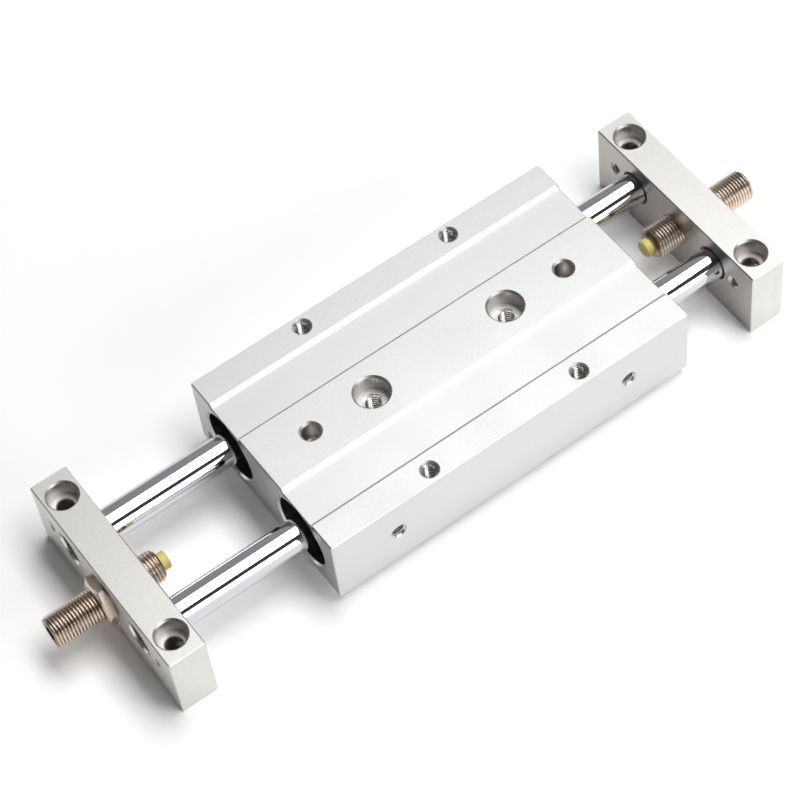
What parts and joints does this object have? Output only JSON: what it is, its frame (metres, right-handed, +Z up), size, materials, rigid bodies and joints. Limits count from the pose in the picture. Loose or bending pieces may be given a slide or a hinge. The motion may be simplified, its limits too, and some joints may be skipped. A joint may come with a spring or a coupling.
{
  "type": "pneumatic slide table",
  "caption": "Pneumatic slide table: a bored housing slides along fixed rods held between end plates, which carry adjustable stop screws with soft pads.",
  "frame": {"origin": "midway between the end plates, on the plane that they rest on", "axes": "+X along the rods, away from the plate with the lock nut; +Z up; the air ports face -Y"},
  "size_m": [0.2459, 0.072, 0.029],
  "materials": {
    "plate_aluminium": "fine-ground, clear anodised, warm light grey",
    "housing_aluminium": "bead-blasted, clear anodised, pale silver",
    "rod_chrome": "ground and hard-chromed, mirror bright",
    "screw_steel": "zinc-plated steel",
    "spring_steel": "oiled spring steel",
    "stop_screw_metal": "plated steel with a warm, bronze tint",
    "pad_urethane": "pale yellow urethane, slightly translucent",
    "piston_aluminium": "turned",
    "magnet_plastic": "bonded magnet ring",
    "seal_rubber": "moulded nitrile rubber",
    "cover_dark_aluminium": "turned and dark anodised",
    "bush_bronze": "sintered bronze",
    "bumper_urethane": "moulded urethane"
  },
  "bodies": {
    "base": {"left_end_plate": "plate_aluminium", "right_end_plate": "plate_aluminium", "near_guide_rod": "rod_chrome", "far_guide_rod": "rod_chrome", "left_rod_screws": "screw_steel", "right_rod_screws": "screw_steel", "left_stop_screw": "stop_screw_metal", "right_stop_screw": "stop_screw_metal", "left_stop_pad": "pad_urethane", "right_stop_pad": "pad_urethane", "left_lock_nut": "stop_screw_metal", "near_piston": "piston_aluminium", "near_piston_seals": "seal_rubber", "near_piston_magnet": "magnet_plastic", "near_piston_o_ring": "seal_rubber", "near_piston_clips": "spring_steel", "far_piston": "piston_aluminium", "far_piston_seals": "seal_rubber", "far_piston_magnet": "magnet_plastic", "far_piston_o_ring": "seal_rubber", "far_piston_clips": "spring_steel"},
    "table": {"housing": "housing_aluminium", "near_left_rod_cover": "cover_dark_aluminium", "near_left_rod_bush": "bush_bronze", "near_left_rod_seal": "seal_rubber", "near_left_cover_o_ring": "seal_rubber", "near_left_retaining_ring": "spring_steel", "near_left_bumper": "bumper_urethane", "far_left_rod_cover": "cover_dark_aluminium", "far_left_rod_bush": "bush_bronze", "far_left_rod_seal": "seal_rubber", "far_left_cover_o_ring": "seal_rubber", "far_left_retaining_ring": "spring_steel", "far_left_bumper": "bumper_urethane", "near_right_rod_cover": "cover_dark_aluminium", "near_right_rod_bush": "bush_bronze", "near_right_rod_seal": "seal_rubber", "near_right_cover_o_ring": "seal_rubber", "near_right_retaining_ring": "spring_steel", "near_right_bumper": "bumper_urethane", "far_right_rod_cover": "cover_dark_aluminium", "far_right_rod_bush": "bush_bronze", "far_right_rod_seal": "seal_rubber", "far_right_cover_o_ring": "seal_rubber", "far_right_retaining_ring": "spring_steel", "far_right_bumper": "bumper_urethane"}
  },
  "joints": [
    {"name": "table_slide", "type": "slide", "parent": "base", "child": "table", "axis": [1, 0, 0], "range_m": [-0.0333, 0.0112]}
  ]
}
